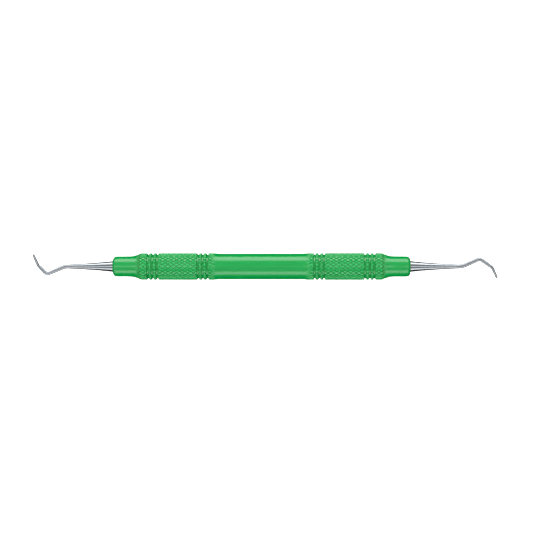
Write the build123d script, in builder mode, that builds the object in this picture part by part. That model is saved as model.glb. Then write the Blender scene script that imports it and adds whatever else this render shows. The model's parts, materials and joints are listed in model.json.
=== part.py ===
"""Double-ended dental hand instrument.

A moulded resin handle holds one forged steel tip at each end. Each tip is one piece: a blunt blade
with a flat ground face, a terminal shank, a contra-angled bend, a tapering shank, a root and a tang.
Inside the handle a thin steel tube carries the load from tip to tip. A turned bush closes each end
of the tube and takes the tang, and a cured sealing ring closes the gap round each shank.

The frame: X runs along the handle, from the left tip to the right tip. The tips bend in the XY plane.
+Z is up as the instrument lies on a tray. The origin is the middle of the handle, on its axis.
All sizes are in millimetres and degrees.
"""

from build123d import *

import os
from dataclasses import dataclass
from math import atan2, cos, degrees, radians, sin

# ---- handle ----
handle_length = 106.0  # from nose face to nose face
nose_diameter = 7.2
nose_straight = 5.6  # from the nose face to the start of the flare
nose_edge_radius = 1.35
flare_length = 4.4
flare_shoulder_radius = 1.6  # rounds the flare into the grip
grip_diameter = 9.5  # over the crests of the grip texture
grip_end = 35.9  # from the nose face to the end of the full grip diameter
ramp_length = 2.0  # cone from the grip down to the plain middle
middle_diameter = 9.15
parting_angle = 3.87  # keeps the turned faces' seam off the line that the handle rests on

# ---- ring grooves: groups of equal grooves across each grip ----
groove_count = 3
groove_pitch = 1.65
groove_depth = 0.5
groove_width = 0.95  # at the surface
groove_floor = 0.4
outer_group_start = 12.7  # nose face to the first groove of the group near the nose
inner_group_start = 30.6  # nose face to the first groove of the group near the middle

# ---- core tube and bushes inside the handle ----
tube_diameter = 5.0
tube_wall = 0.4
socket_depth = 5.0  # nose face to the bush
bush_flange_thickness = 1.0
bush_body_length = 10.5
bush_bore_diameter = 2.5
bush_chamfer = 0.3

# ---- root, tang and sealing ring ----
root_diameter = 3.9  # shank where it leaves the handle
root_clearance = 0.05  # radial, root in the nose socket
tang_clearance = 0.02  # radial, tang in the bush: the bonding gap
tang_length = 9.0
tang_chamfer = 0.25
bond_groove_count = 3
bond_groove_width = 0.6
bond_groove_depth = 0.15
bond_groove_spacing = 2.4
tang_flat_depth = 0.2  # flat that keys the tang against turning
tang_flat_length = 4.0
seal_wall = 0.2  # radial thickness of the sealing ring
seal_depth = 0.8

# ---- shank and blade, the same section on both ends ----
neck_diameter = 1.5  # end of the long taper
waist_position = 0.42  # the taper's pull-in point, as a share of its length
waist_pull = 0.86  # its radius, as a share of the mean of both ends
contra_end_diameter = 1.36
terminal_diameter = 1.2
toe_radius = 0.52  # of the blade at its toe, and of the toe's rounding
face_heel_offset = 0.4  # flat face above the blade's axis, at the heel
face_toe_offset = 0.3  # and at the toe
face_runout_radius = 1.2  # grinding wheel's run-out at the heel


@dataclass
class TipShape:
    """One tip's centreline: its three runs after the straight shank, with their bend radii."""

    straight_length: float  # nose face to the first bend
    contra_length: float
    contra_angle: float
    terminal_length: float
    terminal_angle: float
    blade_length: float
    blade_angle: float
    bend_radii: tuple  # first bend, apex, blade bend


tip_shapes = {
    "left": TipShape(17.3, 7.05, 23.0, 4.4, -45.0, 4.5, -65.4, (4.0, 1.5, 3.0)),
    "right": TipShape(18.4, 6.8, 24.0, 5.2, -36.0, 4.3, -65.7, (7.0, 1.5, 3.0)),
}

# ---- sizes that follow from the ones above ----
half_length = handle_length / 2
bush_flange_diameter = tube_diameter
tube_bore = tube_diameter - 2 * tube_wall
tube_length = handle_length - 2 * (socket_depth + bush_flange_thickness)
socket_diameter = root_diameter + 2 * root_clearance
seal_diameter = root_diameter + 2 * seal_wall
tang_diameter = bush_bore_diameter - 2 * tang_clearance
core_seat = half_length - socket_depth  # middle of the handle to the bush's outer face
plain_length = handle_length - 2 * (grip_end + ramp_length)

# The handle's outline stands in this plane, with its Y pointing down and a little to one side.
parting_tilt = radians(parting_angle)
outline_plane = Plane(
    origin=(0, 0, 0), x_dir=(1, 0, 0), z_dir=(0, cos(parting_tilt), sin(parting_tilt))
)

# One plane per end: its origin is on the nose face, its X points out of the handle and its Z is up.
end_planes = {
    "left": Plane(origin=(-half_length, 0, 0), x_dir=(-1, 0, 0), z_dir=(0, 0, 1)),
    "right": Plane(origin=(half_length, 0, 0), x_dir=(1, 0, 0), z_dir=(0, 0, 1)),
}


def groove_positions():
    """Distances of all groove centres from the nose face, on one side of the handle."""
    starts = (outer_group_start, inner_group_start)
    return [start + i * groove_pitch for start in starts for i in range(groove_count)]


def build_handle():
    """Resin handle: turned outline with both noses, grips and grooves, bored for the core."""
    nose_r, grip_r, middle_r = nose_diameter / 2, grip_diameter / 2, middle_diameter / 2
    with BuildPart() as handle:
        # Half of the outline, from the nose face (x = half_length) back to the middle (x = 0).
        with BuildSketch(outline_plane):
            with BuildLine():
                face = Line((half_length, 0), (half_length, nose_r - nose_edge_radius))
                edge = RadiusArc(
                    face @ 1, (half_length - nose_edge_radius, nose_r), -nose_edge_radius
                )
                nose = Line(edge @ 1, (half_length - nose_straight, nose_r))
                grip_start = half_length - nose_straight - flare_length
                flare = TangentArc(nose @ 1, (grip_start, grip_r), tangent=(-1, 0))
                grip = Line(flare @ 1, (half_length - grip_end, grip_r))
                ramp = Line(grip @ 1, (plain_length / 2, middle_r))
                Polyline(ramp @ 1, (0, middle_r), (0, 0), (half_length, 0))
            outline = make_face()
            shoulder = outline.vertices().sort_by_distance((grip_start, grip_r))[0]
            fillet(shoulder, radius=flare_shoulder_radius)
        revolve(axis=Axis.X)
        mirror(about=Plane.YZ)

        # Ring grooves: one tapered section each, centred on the grip's surface, turned round the axis.
        side_slope = degrees(atan2(2 * groove_depth, groove_width - groove_floor))
        with BuildSketch(outline_plane):
            with Locations(
                *[
                    (side * (half_length - distance), grip_r)
                    for side in (-1, 1)
                    for distance in groove_positions()
                ]
            ):
                Trapezoid(
                    2 * groove_width - groove_floor, 2 * groove_depth, side_slope, rotation=180
                )
        revolve(axis=Axis.X, mode=Mode.SUBTRACT)

        # Space for the tube and both bush flanges, the root sockets and the seal seats.
        across = Plane.YZ
        with BuildSketch(across):
            Circle(tube_diameter / 2)
        extrude(amount=core_seat, both=True, mode=Mode.SUBTRACT)
        with BuildSketch(across):
            Circle(socket_diameter / 2)
        extrude(amount=half_length, both=True, mode=Mode.SUBTRACT)
        for plane in end_planes.values():
            with BuildSketch(Plane(origin=plane.origin, z_dir=plane.x_dir)):
                Circle(seal_diameter / 2)
            extrude(amount=-seal_depth, mode=Mode.SUBTRACT)
    return handle.part


def build_core_tube():
    """Thin steel tube along the handle's axis."""
    with BuildPart() as tube:
        with BuildSketch(Plane.YZ):
            Circle(tube_diameter / 2)
            Circle(tube_bore / 2, mode=Mode.SUBTRACT)
        extrude(amount=tube_length / 2, both=True)
    return tube.part


def build_bush(side):
    """Flanged bush: its body closes the tube's end and its bore takes the tang."""
    outward = end_planes[side]
    seat = Plane(origin=outward.from_local_coords((-socket_depth, 0, 0)), z_dir=outward.x_dir)
    with BuildPart() as bush:
        with BuildSketch(seat):
            Circle(bush_flange_diameter / 2)
        extrude(amount=-bush_flange_thickness)
        with BuildSketch(seat.offset(-bush_flange_thickness)):
            Circle(tube_bore / 2)
        extrude(amount=-bush_body_length)
        inner_face = bush.faces().sort_by(Axis(seat.origin, seat.z_dir))[0]
        chamfer(inner_face.edges(), length=bush_chamfer)
        with Locations(seat):
            Hole(bush_bore_diameter / 2)
    return bush.part


def build_seal(side):
    """Cured sealing ring between the shank's root and the nose."""
    plane = end_planes[side]
    with BuildPart() as seal:
        with BuildSketch(Plane(origin=plane.origin, z_dir=plane.x_dir)):
            Circle(seal_diameter / 2)
            Circle(root_diameter / 2, mode=Mode.SUBTRACT)
        extrude(amount=-seal_depth)
    return seal.part


def route(shape):
    """Corner points of the tip's centreline in its end plane, from the nose face outwards."""
    runs = (
        (shape.straight_length, 0),
        (shape.contra_length, shape.contra_angle),
        (shape.terminal_length, shape.terminal_angle),
        (shape.blade_length, shape.blade_angle),
    )
    point = Vector(0, 0)
    points = [(0, 0)]
    for length, angle in runs:
        point = point + Vector(length, 0).rotate(Axis.Z, angle)
        points.append((point.X, point.Y))
    return points


def across_path(path_edge, position):
    """Plane square to an edge of the centreline, with its X along the world's Z."""
    return Plane(origin=path_edge @ position, x_dir=(0, 0, 1), z_dir=path_edge % position)


def build_tip(side):
    """Forged tip: tang, root, tapered shank, bends and blade in one solid."""
    shape, plane = tip_shapes[side], end_planes[side]
    out_axis = Axis(plane.origin, plane.x_dir)
    points = route(shape)
    with BuildPart() as tip:
        with BuildLine(plane) as centreline:
            FilletPolyline(*points, radius=list(shape.bend_radii))
        runs_and_bends = centreline.edges().sort_by(centreline.wires()[0])
        straight, bend, contra, apex, terminal, blade_bend, blade = runs_and_bends

        # Tang, root and long taper, turned about the handle's axis.
        root_r, tang_r, neck_r = root_diameter / 2, tang_diameter / 2, neck_diameter / 2
        tang_end = -socket_depth - tang_length
        with BuildSketch(plane):
            with BuildLine():
                Polyline(
                    (straight.length, 0),
                    (tang_end, 0),
                    (tang_end, tang_r - tang_chamfer),
                    (tang_end + tang_chamfer, tang_r),
                    (-socket_depth, tang_r),
                    (-socket_depth, root_r),
                    (0, root_r),
                )
                waist = (straight.length * waist_position, (root_r + neck_r) / 2 * waist_pull)
                Bezier((0, root_r), waist, (straight.length, neck_r))
                Line((straight.length, neck_r), (straight.length, 0))
            make_face()
        revolve(axis=out_axis)

        # Bonding grooves round the tang, and the flat that keys it.
        first_groove = tang_end + bond_groove_spacing
        with BuildSketch(plane):
            centres = [
                (first_groove + i * bond_groove_spacing, tang_r) for i in range(bond_groove_count)
            ]
            with Locations(centres):
                Rectangle(bond_groove_width, 2 * bond_groove_depth)
        revolve(axis=out_axis, mode=Mode.SUBTRACT)
        with BuildSketch(plane.offset(tang_r - tang_flat_depth)):
            with Locations((tang_end, 0)):
                Rectangle(2 * tang_flat_length, tang_diameter)
        extrude(amount=tang_flat_depth, mode=Mode.SUBTRACT)

        # The bends keep one diameter each, and the runs between them taper.
        contra_r, terminal_r = contra_end_diameter / 2, terminal_diameter / 2
        for arc, radius in ((bend, neck_r), (apex, contra_r), (blade_bend, terminal_r)):
            with BuildSketch(across_path(arc, 0)):
                Circle(radius)
            sweep(path=arc)
        for run, start_r, end_r in ((contra, neck_r, contra_r), (terminal, contra_r, terminal_r)):
            with BuildSketch(across_path(run, 0)):
                Circle(start_r)
            with BuildSketch(across_path(run, 1)):
                Circle(end_r)
            loft()

        # Blade: a tapering round with a rounded toe. The plane's Y points to the face side.
        blade_plane = Plane(origin=blade @ 0, x_dir=blade % 0, z_dir=(0, 0, -1))
        with BuildSketch(blade_plane):
            with BuildLine():
                back = Polyline((0, 0), (0, terminal_r), (blade.length - toe_radius, toe_radius))
                toe = TangentArc(back @ 1, (blade.length, 0), tangent=(1, 0))
                Line(toe @ 1, (0, 0))
            make_face()
        revolve(axis=Axis(blade_plane.origin, blade_plane.x_dir))

        # Flat face ground along the blade, with the wheel's run-out at the heel.
        clear = terminal_diameter
        with BuildSketch(blade_plane):
            with BuildLine():
                ground = Line((0, face_heel_offset), (blade.length + clear, face_toe_offset))
                runout_top = face_heel_offset + face_runout_radius
                heel = RadiusArc(
                    ground @ 0, (-face_runout_radius, runout_top), -face_runout_radius
                )
                Polyline(heel @ 1, (blade.length + clear, runout_top), ground @ 1)
            make_face()
        extrude(amount=clear, both=True, mode=Mode.SUBTRACT)
    return tip.part


def main():
    parts = {"handle": build_handle(), "core_tube": build_core_tube()}
    for side in ("left", "right"):
        parts[f"{side}_tip"] = build_tip(side)
        parts[f"{side}_bush"] = build_bush(side)
        parts[f"{side}_seal"] = build_seal(side)
    os.makedirs("parts", exist_ok=True)
    for name, part in parts.items():
        part.label = name
        export_step(part, f"parts/{name}.step")


main()
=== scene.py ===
"""Double-ended dental hand instrument: the finished look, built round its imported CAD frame.

X runs along the handle, Z is up, and the origin is the middle of the handle, on its axis. Pieces
are modelled in millimetres, because Blender's modelling tools lose fine detail in metres, and each
one is brought to metres when it is finished.
"""

import json
from math import cos, hypot, pi, radians, sin, sqrt, tan
from types import SimpleNamespace

import bmesh
import bpy
from bpy.props import FloatProperty, IntProperty, PointerProperty, StringProperty
from bpy.types import Operator, Panel, PropertyGroup
from mathutils import Euler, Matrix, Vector


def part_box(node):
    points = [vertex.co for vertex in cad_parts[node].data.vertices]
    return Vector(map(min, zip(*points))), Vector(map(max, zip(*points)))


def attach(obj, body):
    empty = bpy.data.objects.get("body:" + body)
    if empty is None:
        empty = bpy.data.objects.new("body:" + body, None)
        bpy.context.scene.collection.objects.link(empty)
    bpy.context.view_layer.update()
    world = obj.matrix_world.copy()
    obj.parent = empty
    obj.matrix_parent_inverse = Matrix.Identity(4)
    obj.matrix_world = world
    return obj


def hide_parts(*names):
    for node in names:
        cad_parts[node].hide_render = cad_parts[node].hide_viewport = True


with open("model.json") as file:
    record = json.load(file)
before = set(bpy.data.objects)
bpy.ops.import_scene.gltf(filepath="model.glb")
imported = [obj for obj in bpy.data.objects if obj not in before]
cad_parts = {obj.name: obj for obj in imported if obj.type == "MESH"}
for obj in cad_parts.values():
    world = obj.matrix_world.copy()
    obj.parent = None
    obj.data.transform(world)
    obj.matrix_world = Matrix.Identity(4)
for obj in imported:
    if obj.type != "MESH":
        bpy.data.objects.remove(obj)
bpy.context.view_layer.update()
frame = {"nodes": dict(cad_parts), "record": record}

bl_info = {
    "name": "Dental Hand Instrument",
    "version": (1, 0, 0),
    "blender": (4, 5, 0),
    "location": "View3D > Sidebar > Instrument",
    "description": "Builds a double-ended dental hand instrument with a knurled resin handle",
    "category": "Object",
}

GRIP_MOUNT = next(m for m in frame["record"]["mounts"] if m["name"] == "right_grip")
MM = 0.001  # metres in a millimetre
CUT_TOLERANCE = 1e-5  # millimetres within which a cut takes an old corner
PLAIN_SIDES = 96  # corners in a plain ring of the handle
TIP_SIDES = 48  # corners in a ring of a tip
BEND_STEP = radians(5)  # turn from one ring to the next in a bend
SPIN_SENSE = -1  # a spin turns clockwise about its axis for a positive angle
KNURL_BLEND = 0.3  # millimetres from the knurl's end to the first plain ring
FLARE_CUTS = (0.3, 6)  # millimetres from one new ring on the flare to the next, and how many
SEAT_BREAK = 0.05  # millimetres, the broken edge of a seal's seat
SEAL_LAP = 0.04  # millimetres that a seal laps over the rim of its seat
SEAL_CREEP = 0.10  # millimetres that a seal creeps up the steel
SEAL_BITE = 0.03  # millimetres that a seal reaches under the steel's surface
SEAL_SINK = 0.005  # millimetres under the steel's surface at which its creeping edge ends
SEAL_FACE = ((0.1, -0.02), (0.35, -0.03), (0.6, -0.02), (0.82, 0.02))  # share of width, height
FLOOR_SIZE = 6.0  # metres
PANEL_DISTANCE = 0.65  # metres from the instrument to each panel light
PANELS = {  # turn about Z, lowest and highest degrees from straight up, length in metres
    "front_panel": (0, 55, 96, 1.3),
    "back_panel": (180, 47, 76, 1.3),
    "left_top_panel": (90, 9, 60, 0.16),
    "right_top_panel": (-90, 9, 60, 0.16),
}
MIX_A, MIX_B = 6, 7  # a Mix node's two colour sockets


# ---- sizes and colours that a user can change ----


def length(name, description, millimetres):
    """A length, kept in metres as Blender shows it."""
    return FloatProperty(
        name=name, description=description, default=millimetres * MM, unit="LENGTH", precision=5
    )


def turn(name, description, degrees):
    """An angle."""
    return FloatProperty(
        name=name, description=description, default=radians(degrees), subtype="ANGLE"
    )


def hex_colour(name, description, value):
    """An sRGB colour as a hex value."""
    return StringProperty(name=name, description=description, default=value)


class HandleSizes(PropertyGroup):
    """Sizes of the moulded handle. Places along it are measured from its nose face."""

    half_length: length("Half length", "Middle to nose face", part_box("handle")[1].x / MM)
    nose_radius: length("Nose radius", "Radius of the plain nose", 3.6)
    nose_edge: length("Nose edge", "Rounding of the nose's rim", 1.35)
    flare_start: length("Flare start", "Where the flare leaves the nose", 5.6)
    flare_end: length("Flare end", "Where the flare would reach the grip with no shoulder", 10.0)
    shoulder: length("Shoulder", "Rounding between flare and grip", 1.6)
    grip_radius: length("Grip radius", "Over the knurl's crests", GRIP_MOUNT["dims"]["r_mm"])
    grip_end: length("Grip end", "Where the full grip ends", 35.9)
    ramp_end: length("Ramp end", "Where the plain middle begins", 37.9)
    middle_radius: length("Middle radius", "Radius of the plain middle", 4.575)
    knurl_start: length("Knurl start", "First trace of the knurl, on the flare", 8.5)
    knurl_full: length("Knurl full", "Where the knurl reaches its full depth", 9.8)
    knurl_fade: length("Knurl fade", "Where the knurl starts to fade", 35.3)
    knurl_end: length("Knurl end", "Last trace of the knurl, on the ramp", 37.0)
    knurl_pitch: length("Knurl pitch", "Length of one diamond", 1.985)
    knurl_around: IntProperty(name="Diamonds", description="In one ring", default=24, min=8)
    knurl_root: length("Knurl root", "Half width of a groove's flat bottom", 0.01)
    knurl_wall: length("Knurl wall", "Width of a diamond's steep side", 0.07)
    knurl_depth: length("Knurl depth", "Groove bottom to crest", 0.20)
    knurl_crest: length("Knurl crest", "Width of the gentle slope round a crest", 0.14)
    ring_count: IntProperty(name="Rings", description="Grooves in one group", default=3, min=1)
    ring_pitch: length("Ring pitch", "From one ring groove to the next", 1.65)
    ring_depth: length("Ring depth", "Depth of a ring groove", 0.55)
    ring_mouth: length("Ring mouth", "Width of a ring groove at the surface", 0.85)
    ring_floor: length("Ring floor", "Width of a ring groove at its floor", 0.48)
    ring_lip: length("Ring lip", "Rounding of a ring groove's edges", 0.20)
    outer_rings: length("Outer rings", "First groove of the group by the nose", 12.7)
    inner_rings: length("Inner rings", "First groove of the group by the middle", 30.6)
    seat_radius: length("Seal seat radius", "Seat of the sealing ring", 2.15)
    seat_depth: length("Seal seat depth", "Seat of the sealing ring", 0.8)
    socket_radius: length("Socket radius", "Clearance bore round the shank's root", 2.0)
    socket_depth: length("Socket depth", "Nose face to the bush", 5.0)
    tube_radius: length("Tube radius", "Bore that the core tube fills", 2.5)


class TipSizes(PropertyGroup):
    """Sections of a forged tip, the same at both ends. Places are measured from the nose face."""

    tang_start: length("Tang start", "Inner end of the tang, inside the handle", -14.0)
    tang_radius: length("Tang radius", "Radius of the tang in its bush", 1.23)
    tang_chamfer: length("Tang chamfer", "Lead-in at the tang's inner end", 0.25)
    bond_groove_first: length("First bond groove", "Glue groove nearest the tang's end", -11.6)
    bond_groove_pitch: length("Bond groove pitch", "From one glue groove to the next", 2.4)
    bond_groove_width: length("Bond groove width", "Width of a glue groove", 0.6)
    bond_groove_depth: length("Bond groove depth", "Depth of a glue groove", 0.15)
    flat_length: length("Tang flat length", "Flat that keys the tang", 4.0)
    flat_depth: length("Tang flat depth", "Flat that keys the tang", 0.2)
    root_start: length("Root start", "Step from the tang to the root", -5.0)
    root_radius: length("Root radius", "Radius at the nose face", 1.95)
    neck_radius: length("Neck radius", "Radius at the first bend", 0.75)
    contra_radius: length("Contra radius", "Radius at the apex", 0.68)
    terminal_radius: length("Terminal radius", "Radius at the blade's heel", 0.6)
    toe_radius: length("Toe radius", "Radius of the blade's toe", 0.52)
    waist_position: FloatProperty(
        name="Waist position", description="Where the taper pulls in, along it", default=0.42
    )
    waist_pull: FloatProperty(
        name="Waist pull", description="Pull-in over the taper's mean radius", default=0.86
    )
    face_heel: length("Face at heel", "Flat face above the blade's axis, at its heel", 0.4)
    face_toe: length("Face at toe", "Flat face above the blade's axis, past its toe", 0.3)
    wheel_radius: length("Wheel radius", "Run-out of the wheel that grinds the face", 1.2)


class LeftRoute(PropertyGroup):
    """Centreline of the left tip: runs from corner to corner, angles from the handle's axis."""

    straight_run: length("Straight run", "Nose face to the first corner", 17.3)
    contra_run: length("Contra run", "First corner to the apex", 7.05)
    contra_angle: turn("Contra angle", "Slope of the contra run", 23.0)
    terminal_run: length("Terminal run", "Apex to the blade's heel", 4.4)
    terminal_angle: turn("Terminal angle", "Slope of the terminal run", -45.0)
    blade_run: length("Blade run", "Heel to toe", 4.5)
    blade_angle: turn("Blade angle", "Slope of the blade", -65.4)
    first_bend: length("First bend", "Radius of the first bend", 4.0)
    apex_bend: length("Apex bend", "Radius of the bend at the apex", 1.5)
    blade_bend: length("Blade bend", "Radius of the bend at the heel", 3.0)


class RightRoute(PropertyGroup):
    """Centreline of the right tip, measured as the left one's is."""

    straight_run: length("Straight run", "Nose face to the first corner", 18.4)
    contra_run: length("Contra run", "First corner to the apex", 6.8)
    contra_angle: turn("Contra angle", "Slope of the contra run", 24.0)
    terminal_run: length("Terminal run", "Apex to the blade's heel", 5.2)
    terminal_angle: turn("Terminal angle", "Slope of the terminal run", -36.0)
    blade_run: length("Blade run", "Heel to toe", 4.3)
    blade_angle: turn("Blade angle", "Slope of the blade", -65.7)
    first_bend: length("First bend", "Radius of the first bend", 7.0)
    apex_bend: length("Apex bend", "Radius of the bend at the apex", 1.5)
    blade_bend: length("Blade bend", "Radius of the bend at the heel", 3.0)


class Finishes(PropertyGroup):
    """Colours of the finishes."""

    resin: hex_colour("Handle resin", "Green of the moulded handle", "#028C3B")
    resin_flow: hex_colour("Resin flow", "Slightly lighter green of the flow lines", "#069142")
    # Painted light: the crest green is a painted highlight on the knurl's crests, and the groove
    # green is painted shade in its grooves.
    crest: hex_colour("Crest", "Lighter green on the knurl's crests", "#10A04E")
    groove: hex_colour("Groove", "Darker green in the grips' grooves", "#007C28")
    seal: hex_colour("Sealing resin", "Darker green of the cured rings", "#0B6E33")
    steel: hex_colour("Polished steel", "Tint of the polished steel", "#888D91")
    steel_haze: hex_colour("Steel haze", "Tint where the polish is duller", "#7F8488")
    drawn_steel: hex_colour("Drawn steel", "Tint of the drawn tube", "#B5B3AF")
    turned_steel: hex_colour("Turned steel", "Tint of the turned bushes", "#BDBBB6")
    floor: hex_colour("Floor", "Pale floor", "#F6F6F6")


class Studio(PropertyGroup):
    """Camera, lights and floor."""

    lens: FloatProperty(name="Lens", description="Focal length in millimetres", default=137.5)
    camera_distance: length("Camera distance", "Camera to the point it looks at", 725.0)
    camera_yaw: turn("Camera yaw", "Camera's turn towards the right end", 2.9)
    aim: length("Aim", "Point on the axis that the camera looks at", 1.89)
    front_light: FloatProperty(name="Front panel", description="Radiance", default=4.2)
    back_light: FloatProperty(name="Back panel", description="Radiance", default=3.0)
    top_light: FloatProperty(name="Top panels", description="Radiance", default=2.6)
    room_light: FloatProperty(name="Room", description="Radiance above the floor", default=0.6)
    floor_glow: FloatProperty(name="Floor glow", description="Backlight of the floor", default=0.9)


# ---- helpers ----


def linear(value):
    """An sRGB hex colour as linear red, green, blue and alpha."""
    parts = [int(value[i : i + 2], 16) / 255 for i in (1, 3, 5)]
    curve = [c / 12.92 if c <= 0.04045 else ((c + 0.055) / 1.055) ** 2.4 for c in parts]
    return (*curve, 1.0)


def in_millimetres(group):
    """A group's values by name, with its lengths in millimetres."""
    values = {}
    for key in type(group).__annotations__:
        value = getattr(group, key)
        is_length = group.bl_rna.properties[key].unit == "LENGTH"
        values[key] = value / MM if is_length else value
    return SimpleNamespace(**values)


def start_piece(name, add, **settings):
    """Adds a primitive with nothing else selected and leaves it in edit mode, all selected."""
    bpy.ops.object.select_all(action="DESELECT")
    add(**settings)
    piece = bpy.context.object
    piece.name = name
    piece.data.name = name
    bpy.ops.object.transform_apply(location=True, rotation=True, scale=True)
    bpy.ops.object.mode_set(mode="EDIT")
    bpy.ops.mesh.select_mode(type="VERT")
    bpy.ops.mesh.select_all(action="SELECT")
    return piece


def piece_mesh(piece):
    """The edit mesh of a piece, with its corners numbered."""
    mesh = bmesh.from_edit_mesh(piece.data)
    mesh.verts.index_update()
    return mesh


def pick(piece, mode, test):
    """Selects only the corners, edges or faces that pass a test."""
    bpy.ops.mesh.select_mode(type=mode)
    bpy.ops.mesh.select_all(action="DESELECT")
    mesh = bmesh.from_edit_mesh(piece.data)
    for part in {"VERT": mesh.verts, "EDGE": mesh.edges, "FACE": mesh.faces}[mode]:
        if test(part):
            part.select_set(True)
    bmesh.update_edit_mesh(piece.data)


def turn_rows(rows, place, radius):
    """Extrudes the selected ring along X through rows of (place, radius), as on a lathe.

    It starts from the ring's own place and radius. Equal neighbouring places make a flat step.
    """
    for next_place, next_radius in rows:
        bpy.ops.mesh.extrude_region_move(
            TRANSFORM_OT_translate={"value": (next_place - place, 0, 0)}
        )
        scale = next_radius / radius
        bpy.ops.transform.resize(value=(1, scale, scale), center_override=(next_place, 0, 0))
        place, radius = next_place, next_radius


def apply_modifier(piece, kind, **settings):
    """Adds a modifier with its settings and applies it."""
    modifier = piece.modifiers.new(kind, kind)
    for key, value in settings.items():
        setattr(modifier, key, value)
    bpy.ops.object.modifier_apply(modifier=modifier.name)


def finish_piece(piece, material, node, smooth_degrees, place=(0, 0, 0), turned=0.0):
    """Puts a piece in place in metres, shades it and ties it to the frame."""
    bpy.ops.object.mode_set(mode="EDIT")
    bpy.ops.mesh.select_all(action="SELECT")
    bpy.ops.mesh.normals_make_consistent(inside=False)
    bpy.ops.object.mode_set(mode="OBJECT")
    piece.location = place
    piece.rotation_euler.z = turned
    piece.scale = (MM, MM, MM)
    bpy.ops.object.transform_apply(location=True, rotation=True, scale=True)
    bpy.ops.object.shade_smooth_by_angle(angle=radians(smooth_degrees))
    piece.data.materials.append(material)
    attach(piece, "root")
    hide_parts(node)


def add_node(tree, kind, links=(), **settings):
    """Adds a shader node with its settings, inputs' constants and (input, socket) links."""
    node = tree.nodes.new(kind)
    for key, value in settings.items():
        if hasattr(node, key):
            setattr(node, key, value)
        else:
            node.inputs[key.replace("_", " ")].default_value = value
    for target, source in links:
        tree.links.new(source, node.inputs[target])
    return node


# ---- handle ----


def turned_radius(s, along):
    """Radius of the handle's outline, grooves left out, at a distance from its nose face."""
    rise, reach = s.grip_radius - s.nose_radius, s.flare_end - s.flare_start
    flare = (reach**2 + rise**2) / (2 * rise)
    shoulder_centre = s.grip_radius - s.shoulder
    both = flare + s.shoulder
    shoulder_end = s.flare_start + sqrt(both**2 - (s.nose_radius + flare - shoulder_centre) ** 2)
    shoulder_start = s.flare_start + (shoulder_end - s.flare_start) * flare / both
    if along <= s.flare_start:
        return s.nose_radius
    if along < shoulder_start:
        return s.nose_radius + flare - sqrt(flare**2 - (along - s.flare_start) ** 2)
    if along < shoulder_end:
        return shoulder_centre + sqrt(s.shoulder**2 - (shoulder_end - along) ** 2)
    ramp = min(max((along - s.grip_end) / (s.ramp_end - s.grip_end), 0), 1)
    return s.grip_radius + ramp * (s.middle_radius - s.grip_radius)


def ring_places(s):
    """Places of the ring grooves along the handle."""
    firsts = (s.outer_rings, s.inner_rings)
    return [first + i * s.ring_pitch for first in firsts for i in range(s.ring_count)]


def ring_section(s):
    """Half of a ring groove's section, edge first: (distance from its middle, depth)."""
    edge, floor = s.ring_mouth / 2, s.ring_floor / 2
    slant, half_lip = hypot(edge - floor, s.ring_depth), s.ring_lip / 2
    lip_end = (edge - half_lip * (edge - floor) / slant, half_lip * s.ring_depth / slant)
    section = []
    for share in (0, 1 / 3, 2 / 3, 1):
        first, middle, last = (1 - share) ** 2, 2 * share * (1 - share), share**2
        away = first * (edge + half_lip) + middle * edge + last * lip_end[0]
        section.append((away, last * lip_end[1]))
    return section + [(floor, s.ring_depth)]


def ring_relief(s, along):
    """Depth of the ring grooves at a distance from the nose face."""
    away = min(abs(along - place) for place in ring_places(s))
    section = ring_section(s)
    if away >= section[0][0]:
        return 0.0
    for (outer, shallow), (inner, deep) in zip(section, section[1:]):
        if away >= inner:
            return deep + (shallow - deep) * (away - inner) / (outer - inner)
    return s.ring_depth


def knurl_share(s, along):
    """How much of its full depth the knurl has at a distance from the nose face."""
    rising = (along - s.knurl_start) / (s.knurl_full - s.knurl_start)
    falling = (s.knurl_end - along) / (s.knurl_end - s.knurl_fade)
    return min(max(min(rising, falling), 0), 1)


def cut_planes(s):
    """Places where the knurl is cut across, so that the turned shapes have crisp edges."""
    grooves = [
        place + side * away
        for place in ring_places(s)
        for away, _ in ring_section(s)
        for side in (-1, 1)
    ]
    step, count = FLARE_CUTS
    flare = [s.knurl_start + i * step for i in range(1, count + 1)]
    ramp = [s.knurl_fade, s.grip_end]
    return grooves + flare + ramp


def roll_knurl(s):
    """Rolls the diamonds: a tube of cells, split into diamonds, each inset and raised.

    The last inset rises past the grip's radius, and turning levels its top into a flat crest.
    """
    cells = s.knurl_around
    root_radius = s.grip_radius - s.knurl_depth
    rows = int((s.knurl_end - s.knurl_start) / s.knurl_pitch) + 3
    start = s.half_length - s.knurl_end - s.knurl_pitch
    piece = start_piece(
        "handle_shell",
        bpy.ops.mesh.primitive_circle_add,
        vertices=cells,
        radius=root_radius,
        location=(start, 0, 0),
        rotation=(0, pi / 2, 0),
    )
    ends = [start + (i + 1) * s.knurl_pitch for i in range(rows)]
    turn_rows([(end, root_radius) for end in ends], start, root_radius)
    bpy.ops.mesh.select_all(action="SELECT")
    bpy.ops.mesh.normals_make_consistent(inside=False)
    old_corners = len(piece_mesh(piece).verts)
    bpy.ops.mesh.poke(offset=root_radius * (1 - cos(pi / cells)), use_relative_offset=False)
    pick(
        piece,
        "EDGE",
        lambda e: not e.is_boundary and all(v.index < old_corners for v in e.verts),
    )
    bpy.ops.mesh.dissolve_mode(use_verts=False)
    pick(piece, "FACE", lambda f: len(f.verts) == 4)
    bpy.ops.mesh.inset(thickness=s.knurl_root, depth=0, use_individual=True)
    wall_rise = s.knurl_depth - s.knurl_crest / 2
    bpy.ops.mesh.inset(thickness=s.knurl_wall, depth=wall_rise, use_individual=True)
    bpy.ops.mesh.inset(thickness=s.knurl_crest, depth=s.knurl_crest, use_individual=True)
    return piece


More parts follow.
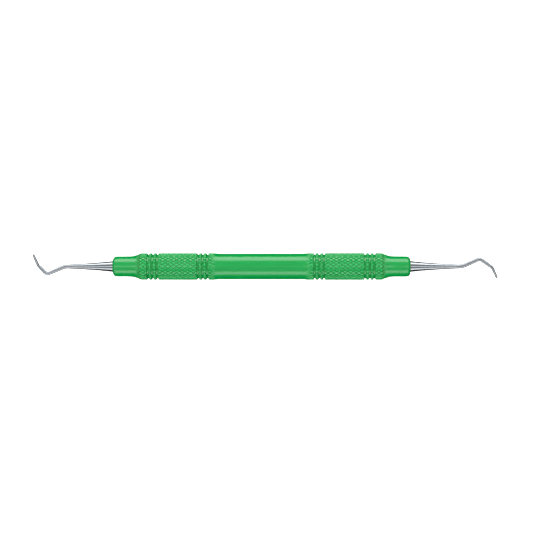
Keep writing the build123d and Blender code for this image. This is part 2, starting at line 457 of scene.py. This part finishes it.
def turn_knurl(piece, s):
    """Cuts the knurled tube across at every turned edge, trims it and fits it to the outline.

    Corners are set one by one, because no modelling tool turns an outline under a raised pattern.
    """
    for along in cut_planes(s):
        bpy.ops.mesh.select_all(action="SELECT")
        bpy.ops.mesh.bisect(
            plane_co=(s.half_length - along, 0, 0), plane_no=(1, 0, 0), threshold=CUT_TOLERANCE
        )
    for along, side in ((s.knurl_start, 1), (s.knurl_end, -1)):
        bpy.ops.mesh.select_all(action="SELECT")
        bpy.ops.mesh.bisect(
            plane_co=(s.half_length - along, 0, 0),
            plane_no=(side, 0, 0),
            clear_outer=True,
            threshold=CUT_TOLERANCE,
        )
    for corner in piece_mesh(piece).verts:
        along = s.half_length - corner.co.x
        radius = hypot(corner.co.y, corner.co.z)
        relief = max(s.grip_radius - radius, 0) * knurl_share(s, along)
        scale = (turned_radius(s, along) - max(relief, ring_relief(s, along))) / radius
        corner.co.y *= scale
        corner.co.z *= scale
    bmesh.update_edit_mesh(piece.data)


def join_ring(piece, s, along, ring_along):
    """Bridges the knurl's open end to a plain ring further on, and leaves that ring selected."""
    end, place = s.half_length - along, s.half_length - ring_along

    def is_at(edge, x):
        return all(abs(v.co.x - x) < 10 * CUT_TOLERANCE for v in edge.verts)

    def is_open(edge):
        return edge.is_boundary or edge.is_wire

    bpy.ops.mesh.select_all(action="DESELECT")
    bpy.ops.mesh.primitive_circle_add(
        vertices=PLAIN_SIDES,
        radius=turned_radius(s, ring_along),
        location=(place, 0, 0),
        rotation=(0, pi / 2, 0),
    )
    pick(piece, "EDGE", lambda e: is_open(e) and (is_at(e, end) or is_at(e, place)))
    bpy.ops.mesh.bridge_edge_loops()
    pick(piece, "EDGE", lambda e: e.is_boundary and is_at(e, place))


def mould_handle(s, material):
    """Moulds the handle: one half grows from its knurl and the other is its mirror."""
    piece = roll_knurl(s)
    turn_knurl(piece, s)

    # Plain middle, to the mirror plane.
    ring = s.knurl_end + KNURL_BLEND
    join_ring(piece, s, s.knurl_end, ring)
    rows = [(s.half_length - s.ramp_end, s.middle_radius), (0, s.middle_radius)]
    turn_rows(rows, s.half_length - ring, turned_radius(s, ring))

    # Flare, nose and rim, then the seal's seat, the socket and the tube's bore.
    ring = s.knurl_start - KNURL_BLEND
    join_ring(piece, s, s.knurl_start, ring)
    flare_rows = 8
    flare_step = (ring - s.flare_start) / flare_rows
    flare = [ring - (i + 1) * flare_step for i in range(flare_rows)]
    rows = [(along, turned_radius(s, along)) for along in flare]
    rim_rows = 10
    for i in range(rim_rows + 1):
        angle = i * pi / 2 / rim_rows
        rows.append(
            (s.nose_edge * (1 - sin(angle)), s.nose_radius - s.nose_edge * (1 - cos(angle)))
        )
    rows += [
        (0, s.seat_radius + SEAT_BREAK),
        (SEAT_BREAK, s.seat_radius),
        (s.seat_depth, s.seat_radius),
        (s.seat_depth, s.socket_radius),
        (s.socket_depth, s.socket_radius),
        (s.socket_depth, s.tube_radius),
        (s.half_length, s.tube_radius),
    ]
    turn_rows(
        [(s.half_length - along, radius) for along, radius in rows],
        s.half_length - ring,
        turned_radius(s, ring),
    )

    bpy.ops.object.mode_set(mode="OBJECT")
    apply_modifier(piece, "MIRROR", merge_threshold=0.001)
    finish_piece(piece, material, "handle", smooth_degrees=28)


# ---- tips ----


def plan_route(r):
    """Lengths of a tip's runs with their bends taken off, and each bend's angle and radius."""
    corners = [
        (r.contra_angle, r.first_bend),
        (r.terminal_angle - r.contra_angle, r.apex_bend),
        (r.blade_angle - r.terminal_angle, r.blade_bend),
    ]
    trims = [bend * tan(abs(angle) / 2) for angle, bend in corners]
    runs = [
        r.straight_run - trims[0],
        r.contra_run - trims[0] - trims[1],
        r.terminal_run - trims[1] - trims[2],
        r.blade_run - trims[2],
    ]
    return runs, corners


def drive(position, heading, distance):
    """The point a distance further on along a heading in the XY plane."""
    return position + distance * Vector((cos(heading), sin(heading), 0))


def draw_run(start, heading, rows, radius):
    """Extrudes the selected ring along a heading through rows of (distance, radius).

    It gives the ring's new place.
    """
    place = start
    for distance, next_radius in rows:
        next_place = drive(start, heading, distance)
        bpy.ops.mesh.extrude_region_move(TRANSFORM_OT_translate={"value": next_place - place})
        scale = next_radius / radius
        bpy.ops.transform.resize(value=(scale, scale, scale), center_override=next_place)
        place, radius = next_place, next_radius
    return place


def draw_bend(position, heading, angle, bend):
    """Spins the selected ring round a bend and gives its new place."""
    side = 1 if angle > 0 else -1
    centre = drive(position, heading + side * pi / 2, bend)
    bpy.ops.mesh.spin(
        steps=max(6, round(abs(angle) / BEND_STEP)),
        angle=SPIN_SENSE * angle,
        center=centre,
        axis=(0, 0, 1),
    )
    return drive(centre, heading + angle - side * pi / 2, bend)


def grind(piece, cutter):
    """Takes a cutter's shape out of a piece and throws the cutter away."""
    bpy.ops.object.mode_set(mode="OBJECT")
    bpy.ops.object.select_all(action="DESELECT")
    piece.select_set(True)
    bpy.context.view_layer.objects.active = piece
    apply_modifier(piece, "BOOLEAN", operation="DIFFERENCE", solver="EXACT", object=cutter)
    bpy.data.objects.remove(cutter)


def blade_wheel(t, blade_run, heel, heading):
    """The grinding wheel's path along the blade: a block whose corner at the heel is rounded."""
    clear = 2 * t.terminal_radius
    back, front = -t.wheel_radius, blade_run + clear
    low, high = t.face_heel, t.face_heel + t.wheel_radius
    cutter = start_piece(
        "blade_wheel",
        bpy.ops.mesh.primitive_cube_add,
        size=1,
        location=((back + front) / 2, (low + high) / 2, 0),
        scale=(front - back, high - low, 2 * clear),
    )
    pick(cutter, "VERT", lambda v: v.co.x > 0 and v.co.y < (low + high) / 2)
    bpy.ops.transform.translate(value=(0, t.face_toe - t.face_heel, 0))
    pick(
        cutter,
        "EDGE",
        lambda e: all(v.co.x < 0 and v.co.y < (low + high) / 2 for v in e.verts),
    )
    bpy.ops.mesh.bevel(offset=0.999 * t.wheel_radius, segments=16, affect="EDGES")
    bpy.ops.object.mode_set(mode="OBJECT")
    cutter.scale.y = -1
    cutter.location = heel
    cutter.rotation_euler.z = heading
    return cutter


def forge_tip(name, t, r, half_length, side, material):
    """Forges one tip from its tang to its toe, outwards along X, then grinds its two flats."""
    start_radius = t.tang_radius - t.tang_chamfer
    piece = start_piece(
        name,
        bpy.ops.mesh.primitive_circle_add,
        vertices=TIP_SIDES,
        radius=start_radius,
        location=(t.tang_start, 0, 0),
        rotation=(0, pi / 2, 0),
    )

    # Tang with its glue grooves, root, and the long taper.
    rows = [(t.tang_start + t.tang_chamfer, t.tang_radius)]
    half_groove = t.bond_groove_width / 2
    centre = t.bond_groove_first
    while centre + half_groove < t.root_start:
        floor = t.tang_radius - t.bond_groove_depth
        rows += [(centre - half_groove, t.tang_radius), (centre - half_groove, floor)]
        rows += [(centre + half_groove, floor), (centre + half_groove, t.tang_radius)]
        centre += t.bond_groove_pitch
    rows += [(t.root_start, t.tang_radius), (t.root_start, t.root_radius), (0, t.root_radius)]
    runs, corners = plan_route(r)
    taper_rows = 20
    waist = (runs[0] * t.waist_position, (t.root_radius + t.neck_radius) / 2 * t.waist_pull)
    for i in range(1, taper_rows + 1):
        share = i / taper_rows
        first, middle, last = (1 - share) ** 2, 2 * share * (1 - share), share**2
        rows.append(
            (
                middle * waist[0] + last * runs[0],
                first * t.root_radius + middle * waist[1] + last * t.neck_radius,
            )
        )
    turn_rows(rows, t.tang_start, start_radius)

    # Bends keep one radius each, and the runs between them taper.
    position, heading = Vector((runs[0], 0, 0)), 0.0
    radii = [t.neck_radius, t.contra_radius, t.terminal_radius]
    for (angle, bend), run, radius, next_radius in zip(corners[:2], runs[1:3], radii, radii[1:]):
        position = draw_bend(position, heading, angle, bend)
        heading += angle
        position = draw_run(position, heading, [(run, next_radius)], radius)
    heel = draw_bend(position, heading, *corners[2])
    heading += corners[2][0]

    # Blade, and its round toe closed at the pole.
    blade_run, toe_rows = runs[3], 8
    rows = [(blade_run - t.toe_radius, t.toe_radius)]
    for i in range(1, toe_rows):
        angle = i * pi / 2 / toe_rows
        rows.append((blade_run - t.toe_radius * (1 - sin(angle)), t.toe_radius * cos(angle)))
    draw_run(heel, heading, rows + [(blade_run, CUT_TOLERANCE)], t.terminal_radius)
    bpy.ops.mesh.merge(type="CENTER")
    pick(piece, "EDGE", lambda e: e.is_boundary)
    bpy.ops.mesh.edge_face_add()
    bpy.ops.mesh.select_all(action="SELECT")
    bpy.ops.mesh.normals_make_consistent(inside=False)
    bpy.ops.object.mode_set(mode="OBJECT")

    grind(piece, blade_wheel(t, blade_run, heel, heading))
    keying = start_piece(
        "tang_wheel",
        bpy.ops.mesh.primitive_cube_add,
        size=1,
        location=(t.tang_start, 0, t.tang_radius),
        scale=(2 * t.flat_length, 4 * t.tang_radius, 2 * t.flat_depth),
    )
    grind(piece, keying)
    finish_piece(
        piece,
        material,
        name.replace("_forging", ""),
        smooth_degrees=35,
        place=(side * half_length * MM, 0, 0),
        turned=0.0 if side > 0 else pi,
    )


# ---- sealing rings ----


def cure_seal(name, s, t, side, material):
    """Cures one sealing ring: it fills the seat, and its face creeps up the steel and the rim."""
    outer, inner = s.seat_radius, t.root_radius
    width = outer - inner
    section = [
        (-s.seat_depth, outer),
        (-SEAT_BREAK, outer),
        (0.0, outer + SEAL_LAP),
        *((height, outer - share * width) for share, height in SEAL_FACE),
        (SEAL_CREEP, inner - SEAL_SINK),
        (SEAL_CREEP, inner - SEAL_BITE),
        (-s.seat_depth, inner - SEAL_BITE),
        (-s.seat_depth, outer),
    ]
    piece = start_piece(
        name,
        bpy.ops.mesh.primitive_circle_add,
        vertices=PLAIN_SIDES,
        radius=outer,
        location=(-s.seat_depth, 0, 0),
        rotation=(0, pi / 2, 0),
    )
    turn_rows(section[1:], *section[0])
    bpy.ops.mesh.select_all(action="SELECT")
    bpy.ops.mesh.remove_doubles(threshold=10 * CUT_TOLERANCE)
    finish_piece(
        piece,
        material,
        name.replace("_ring", ""),
        smooth_degrees=50,
        place=(side * s.half_length * MM, 0, 0),
        turned=0.0 if side > 0 else pi,
    )


# ---- materials ----


def new_material(name, **surface):
    """A material with its shader's own numbers set, its node tree and its shader."""
    material = bpy.data.materials.new(name)
    material.use_nodes = True
    tree = material.node_tree
    shader = tree.nodes["Principled BSDF"]
    for key, value in surface.items():
        shader.inputs[key.replace("_", " ")].default_value = value
    return material, tree, shader


def two_tones(tree, factor, low, high):
    """Colour that runs from one tone to another as a factor rises."""
    ramp = add_node(tree, "ShaderNodeValToRGB", [("Fac", factor)])
    for element, (position, colour) in zip(ramp.color_ramp.elements, (low, high)):
        element.position = position
        element.color = linear(colour)
    return ramp.outputs["Color"]


def pattern(tree, size, stretch=(1, 1, 1), **settings):
    """Noise whose grains are about a size in millimetres across, stretched along the axes."""
    place = add_node(tree, "ShaderNodeTexCoord").outputs["Object"]
    stretched = add_node(
        tree, "ShaderNodeMapping", [("Vector", place)], Scale=tuple(1 / s for s in stretch)
    ).outputs["Vector"]
    return add_node(
        tree, "ShaderNodeTexNoise", [("Vector", stretched)], Scale=1 / (size * MM), **settings
    ).outputs["Fac"]


def roughen(tree, shader, factor, low, high):
    """Roughness that runs from low to high as a factor rises."""
    rough = add_node(tree, "ShaderNodeMapRange", [("Value", factor)], To_Min=low, To_Max=high)
    tree.links.new(rough.outputs["Result"], shader.inputs["Roughness"])


def emboss(tree, shader, factor, depth):
    """Bump of a depth in millimetres."""
    bump = add_node(
        tree, "ShaderNodeBump", [("Height", factor)], Strength=1.0, Distance=depth * MM
    )
    tree.links.new(bump.outputs["Normal"], shader.inputs["Normal"])


def knurl_painted_light(tree, s, colours, plain):
    """Colour of the resin: plain off the grips, and on them lighter at crests than in grooves, as
    a painted highlight on the crests and painted shade in the grooves.
    """
    place = add_node(tree, "ShaderNodeTexCoord").outputs["Object"]
    across = add_node(tree, "ShaderNodeMapping", [("Vector", place)], Scale=(0, 1, 1))
    radius = add_node(
        tree, "ShaderNodeVectorMath", [(0, across.outputs["Vector"])], operation="LENGTH"
    ).outputs["Value"]
    height = add_node(
        tree,
        "ShaderNodeMapRange",
        [("Value", radius)],
        From_Min=(s.grip_radius - s.knurl_depth) * MM,
        From_Max=s.grip_radius * MM,
    ).outputs["Result"]
    # Painted light: the green darkens with depth towards the groove bottoms as painted shade, and
    # lightens towards the crests as a painted highlight.
    tone = two_tones(tree, height, (0.0, colours.groove), (1.0, colours.crest))
    spread = add_node(tree, "ShaderNodeVectorMath", [(0, place)], operation="ABSOLUTE")
    along = add_node(
        tree, "ShaderNodeSeparateXYZ", [("Vector", spread.outputs["Vector"])]
    ).outputs["X"]
    # The ring grooves' floors keep the plain colour, without the painted shade and highlight, as
    # does all past the knurl's ends.
    reach = [
        (radius, s.grip_radius - s.ring_depth, s.grip_radius - s.knurl_depth),
        (along, s.half_length - s.knurl_end, s.half_length - s.knurl_fade),
        (along, s.half_length - s.knurl_start, s.half_length - s.knurl_full),
    ]
    share = None
    for value, none, full in reach:
        share = add_node(
            tree,
            "ShaderNodeMapRange",
            [("Value", value)] + ([("To Max", share)] if share else []),
            From_Min=none * MM,
            From_Max=full * MM,
        ).outputs["Result"]
    return add_node(
        tree, "ShaderNodeMix", [(0, share), (MIX_A, plain), (MIX_B, tone)], data_type="RGBA"
    ).outputs[2]


def moulded_resin(colours, s):
    """Glass-filled resin, injection moulded.

    It is an even strong green with a satin gloss. The melt runs along the handle and leaves faint
    flow lines that way, and the mould's spark-eroded steel leaves a fine grain. On the knurl, a
    painted highlight makes the crests paler and painted shade keeps the grooves dark.
    """
    material, tree, shader = new_material(
        "Injection-moulded glass-filled resin",
        IOR=1.5,
        Subsurface_Weight=0.08,
        Subsurface_Scale=0.0006,
        Subsurface_Radius=(0.3, 1.0, 0.5),
    )
    flow = pattern(tree, 0.5, stretch=(12, 1, 1), Detail=2.0)
    colour = two_tones(tree, flow, (0.35, colours.resin), (0.7, colours.resin_flow))
    # Adds the painted highlight on the knurl's crests and the painted shade in its grooves.
    colour = knurl_painted_light(tree, s, colours, colour)
    tree.links.new(colour, shader.inputs["Base Color"])
    grain = pattern(tree, 0.12, Detail=3.0)
    roughen(tree, shader, grain, 0.14, 0.28)
    # Spark-eroded grain is a few micrometres deep.
    emboss(tree, shader, grain, 0.006)
    return material


def polished_stainless(colours):
    """Stainless steel, forged, ground and buffed to a mirror.

    Buffing along the shank leaves hair-fine lines that way and a slight haze between them.
    """
    material, tree, shader = new_material("Polished stainless steel", Metallic=1.0)
    haze = pattern(tree, 1.2, stretch=(4, 1, 1), Detail=3.0)
    colour = two_tones(tree, haze, (0.4, colours.steel), (0.75, colours.steel_haze))
    tree.links.new(colour, shader.inputs["Base Color"])
    # Real buffing lines are 0.01 mm apart, and are drawn at 0.06 mm so that they show.
    lines = pattern(tree, 0.06, stretch=(40, 1, 1), Detail=2.0)
    roughen(tree, shader, lines, 0.14, 0.22)
    emboss(tree, shader, lines, 0.0002)
    return material


def cured_resin(colours):
    """Sealing resin, cured in place: glossy, darker than the handle, with tiny bubbles."""
    material, tree, shader = new_material(
        "Cured sealing resin", IOR=1.52, Roughness=0.12, Coat_Weight=0.3, Coat_Roughness=0.05
    )
    cloud = pattern(tree, 0.4, Detail=2.0)
    colour = two_tones(tree, cloud, (0.3, colours.seal), (0.8, colours.resin))
    tree.links.new(colour, shader.inputs["Base Color"])
    place = add_node(tree, "ShaderNodeTexCoord").outputs["Object"]
    cells = add_node(
        tree, "ShaderNodeTexVoronoi", [("Vector", place)], Scale=1 / (0.25 * MM)
    ).outputs["Distance"]
    bubble = add_node(
        tree, "ShaderNodeMapRange", [("Value", cells)], From_Min=0.0, From_Max=0.2
    ).outputs["Result"]
    emboss(tree, shader, bubble, 0.01)
    return material


def drawn_steel(colours):
    """Stainless tube, drawn through a die, which leaves long fine scratches along it."""
    material, tree, shader = new_material("Drawn stainless steel", Metallic=1.0)
    scratches = pattern(tree, 0.05, stretch=(200, 1, 1), Detail=3.0)
    tree.links.new(
        two_tones(tree, scratches, (0.3, colours.drawn_steel), (0.7, colours.turned_steel)),
        shader.inputs["Base Color"],
    )
    roughen(tree, shader, scratches, 0.22, 0.38)
    emboss(tree, shader, scratches, 0.002)
    return material


def turned_steel(colours):
    """Stainless bar, turned on a lathe, whose tool leaves fine rings round the axis."""
    material, tree, shader = new_material("Turned stainless steel", Metallic=1.0)
    place = add_node(tree, "ShaderNodeTexCoord").outputs["Object"]
    # The lathe's feed is 0.08 mm a turn.
    rings = add_node(
        tree,
        "ShaderNodeTexWave",
        [("Vector", place)],
        wave_type="BANDS",
        bands_direction="X",
        Scale=pi / (10 * 0.08 * MM),
        Distortion=0.3,
    ).outputs["Fac"]
    tree.links.new(
        two_tones(tree, rings, (0.2, colours.drawn_steel), (0.8, colours.turned_steel)),
        shader.inputs["Base Color"],
    )
    roughen(tree, shader, rings, 0.25, 0.35)
    emboss(tree, shader, rings, 0.003)
    return material


def opal_acrylic(colours, glow):
    """Opal acrylic of a light table: matt, pale and lit from below, so that shadows fade out."""
    return new_material(
        "Opal acrylic",
        Base_Color=linear(colours.floor),
        Roughness=0.7,
        Emission_Color=linear(colours.floor),
        Emission_Strength=glow,
    )[0]


# ---- studio ----


def add_panel(name, turned, low, high, panel_length, radiance):
    """A soft panel that faces the instrument, unseen by the camera.

    It spans the sky between two angles from straight up, on the +Y side before its turn about Z.
    """
    middle, half = (low + high) / 2, (high - low) / 2
    light = bpy.data.lights.new(name, "AREA")
    light.shape = "RECTANGLE"
    light.size = panel_length
    light.size_y = 2 * PANEL_DISTANCE * tan(half)
    light.energy = radiance * pi * light.size * light.size_y
    panel = bpy.data.objects.new(name, light)
    bpy.context.scene.collection.objects.link(panel)
    place = Vector((0, sin(middle), cos(middle)))
    place.rotate(Euler((0, 0, turned)))
    panel.location = PANEL_DISTANCE * place
    panel.rotation_euler = (-middle, 0, turned)
    panel.visible_camera = False


def light_room(radiance):
    """An even room above the floor, dark below it, and a white backdrop for the camera."""
    world = bpy.data.worlds.new("Room")
    bpy.context.scene.world = world
    world.use_nodes = True
    tree = world.node_tree
    tree.nodes.clear()
    seen = add_node(tree, "ShaderNodeLightPath").outputs["Is Camera Ray"]
    way = add_node(tree, "ShaderNodeTexCoord").outputs["Generated"]
    height = add_node(tree, "ShaderNodeSeparateXYZ", [("Vector", way)]).outputs["Z"]
    lit = add_node(
        tree,
        "ShaderNodeMapRange",
        [("Value", height)],
        From_Min=-0.05,
        From_Max=0.15,
        To_Max=radiance,
    ).outputs["Result"]
    room = add_node(tree, "ShaderNodeBackground", [("Strength", lit)], Color=(1, 1, 1, 1))
    backdrop = add_node(tree, "ShaderNodeBackground", Color=(1, 1, 1, 1), Strength=1.0)
    mixed = add_node(
        tree, "ShaderNodeMixShader", [(0, seen), (1, room.outputs[0]), (2, backdrop.outputs[0])]
    )
    add_node(tree, "ShaderNodeOutputWorld", [("Surface", mixed.outputs[0])])


def lay_floor(height, material):
    """A wide sheet under the instrument, which reflections and bounced light don't see."""
    floor = start_piece(
        "floor", bpy.ops.mesh.primitive_plane_add, size=FLOOR_SIZE, location=(0, 0, height)
    )
    bpy.ops.mesh.subdivide(number_cuts=4)
    bpy.ops.object.mode_set(mode="OBJECT")
    floor.data.materials.append(material)
    floor.visible_glossy = False
    floor.visible_diffuse = False


# ---- operators ----


class INSTRUMENT_OT_handle(Operator):
    """Moulds the knurled handle"""

    bl_idname = "instrument.handle"
    bl_label = "Handle"

    def execute(self, context):
        scene = context.scene
        sizes = in_millimetres(scene.instrument_handle)
        mould_handle(sizes, moulded_resin(scene.instrument_finishes, sizes))
        return {"FINISHED"}


class INSTRUMENT_OT_tips(Operator):
    """Forges the left and the right tip"""

    bl_idname = "instrument.tips"
    bl_label = "Tips"

    def execute(self, context):
        scene = context.scene
        steel = polished_stainless(scene.instrument_finishes)
        sizes = in_millimetres(scene.instrument_tips)
        half_length = in_millimetres(scene.instrument_handle).half_length
        for name, route, side in (
            ("left_tip_forging", scene.instrument_left_route, -1),
            ("right_tip_forging", scene.instrument_right_route, 1),
        ):
            forge_tip(name, sizes, in_millimetres(route), half_length, side, steel)
        return {"FINISHED"}


class INSTRUMENT_OT_seals(Operator):
    """Cures the two sealing rings"""

    bl_idname = "instrument.seals"
    bl_label = "Sealing rings"

    def execute(self, context):
        scene = context.scene
        resin = cured_resin(scene.instrument_finishes)
        handle = in_millimetres(scene.instrument_handle)
        tips = in_millimetres(scene.instrument_tips)
        for name, side in (("left_seal_ring", -1), ("right_seal_ring", 1)):
            cure_seal(name, handle, tips, side, resin)
        return {"FINISHED"}


class INSTRUMENT_OT_core(Operator):
    """Finishes the tube and the bushes inside the handle"""

    bl_idname = "instrument.core"
    bl_label = "Tube and bushes"

    def execute(self, context):
        finishes = context.scene.instrument_finishes
        drawn, turned = drawn_steel(finishes), turned_steel(finishes)
        materials = {"core_tube": drawn, "left_bush": turned, "right_bush": turned}
        for node, material in materials.items():
            body = frame["nodes"][node]
            body.data.materials.clear()
            body.data.materials.append(material)
        return {"FINISHED"}


class INSTRUMENT_OT_stage(Operator):
    """Sets the floor, the lights and the camera"""

    bl_idname = "instrument.stage"
    bl_label = "Stage"

    def execute(self, context):
        scene = context.scene
        studio = scene.instrument_studio
        scene.view_settings.view_transform = "Standard"
        scene.view_settings.look = "None"
        light_room(studio.room_light)
        acrylic = opal_acrylic(scene.instrument_finishes, studio.floor_glow)
        lay_floor(-GRIP_MOUNT["dims"]["r_mm"] * MM, acrylic)
        radiances = (studio.front_light, studio.back_light, studio.top_light, studio.top_light)
        for (name, (*angles, panel_length)), radiance in zip(PANELS.items(), radiances):
            add_panel(name, *map(radians, angles), panel_length, radiance)

        data = bpy.data.cameras.new("camera")
        data.lens = studio.lens
        camera = bpy.data.objects.new("camera", data)
        scene.collection.objects.link(camera)
        away = Vector((sin(studio.camera_yaw), 0, cos(studio.camera_yaw)))
        camera.location = Vector((studio.aim, 0, 0)) + studio.camera_distance * away
        camera.rotation_euler = (0, studio.camera_yaw, 0)
        scene.camera = camera
        return {"FINISHED"}


class INSTRUMENT_PT_sidebar(Panel):
    """Sizes, finishes and pieces of the instrument"""

    bl_idname = "INSTRUMENT_PT_sidebar"
    bl_label = "Dental Hand Instrument"
    bl_space_type = "VIEW_3D"
    bl_region_type = "UI"
    bl_category = "Instrument"

    def draw(self, context):
        layout = self.layout
        for operator in OPERATORS:
            layout.operator(operator.bl_idname)
        for name, (kind, title) in GROUPS.items():
            group = getattr(context.scene, name)
            box = layout.box()
            box.label(text=title)
            for key in kind.__annotations__:
                box.prop(group, key)


GROUPS = {
    "instrument_handle": (HandleSizes, "Handle"),
    "instrument_tips": (TipSizes, "Tips"),
    "instrument_left_route": (LeftRoute, "Left tip's route"),
    "instrument_right_route": (RightRoute, "Right tip's route"),
    "instrument_finishes": (Finishes, "Finishes"),
    "instrument_studio": (Studio, "Studio"),
}
OPERATORS = (
    INSTRUMENT_OT_handle,
    INSTRUMENT_OT_tips,
    INSTRUMENT_OT_seals,
    INSTRUMENT_OT_core,
    INSTRUMENT_OT_stage,
)


def register():
    """Registers the classes and gives the scene their settings."""
    for kind, _ in GROUPS.values():
        bpy.utils.register_class(kind)
    for operator in OPERATORS:
        bpy.utils.register_class(operator)
    bpy.utils.register_class(INSTRUMENT_PT_sidebar)
    for name, (kind, _) in GROUPS.items():
        setattr(bpy.types.Scene, name, PointerProperty(type=kind))


def unregister():
    """Takes the settings and the classes away again."""
    for name in GROUPS:
        delattr(bpy.types.Scene, name)
    bpy.utils.unregister_class(INSTRUMENT_PT_sidebar)
    for operator in reversed(OPERATORS):
        bpy.utils.unregister_class(operator)
    for kind, _ in reversed(GROUPS.values()):
        bpy.utils.unregister_class(kind)


def main():
    """Builds the whole instrument."""
    register()
    bpy.ops.instrument.handle()
    bpy.ops.instrument.tips()
    bpy.ops.instrument.seals()
    bpy.ops.instrument.core()
    bpy.ops.instrument.stage()


if __name__ == "__main__":
    main()
